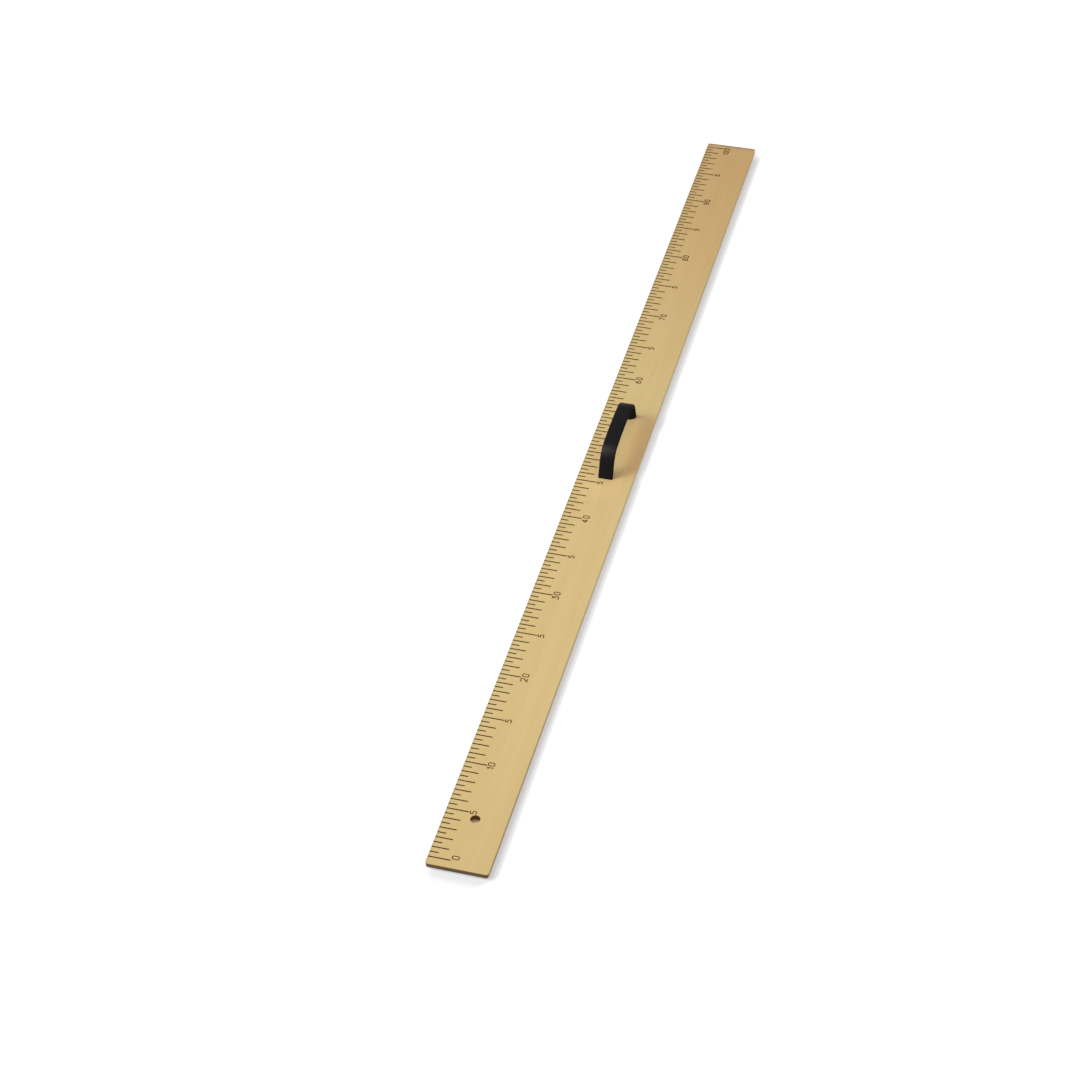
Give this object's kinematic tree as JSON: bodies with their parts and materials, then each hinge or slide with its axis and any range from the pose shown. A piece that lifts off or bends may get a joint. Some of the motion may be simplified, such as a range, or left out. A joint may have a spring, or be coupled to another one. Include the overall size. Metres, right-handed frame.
{
  "type": "blackboard ruler",
  "caption": "Metre rule for a blackboard: flat wooden blade with a printed centimetre scale, a hanging hole at the zero end and a moulded bow handle screwed on from the back.",
  "frame": {"origin": "middle of the blade's back face, which lies on Z = 0", "axes": "+X along the blade from the zero end to the far end, +Y across the blade to the graduated edge, +Z out of the printed face on the side of the handle"},
  "size_m": [1.015, 0.05, 0.03],
  "materials": {
    "varnished_wood": "light wood under a thin satin varnish",
    "scale_ink": "dark brown printed ink",
    "black_plastic": "black moulded plastic with a soft satin sheen",
    "screw_steel": "bright zinc plate"
  },
  "bodies": {
    "root": {"blade": "varnished_wood", "scale_marks": "scale_ink", "handle": "black_plastic", "handle_screws": "screw_steel"}
  },
  "joints": []
}
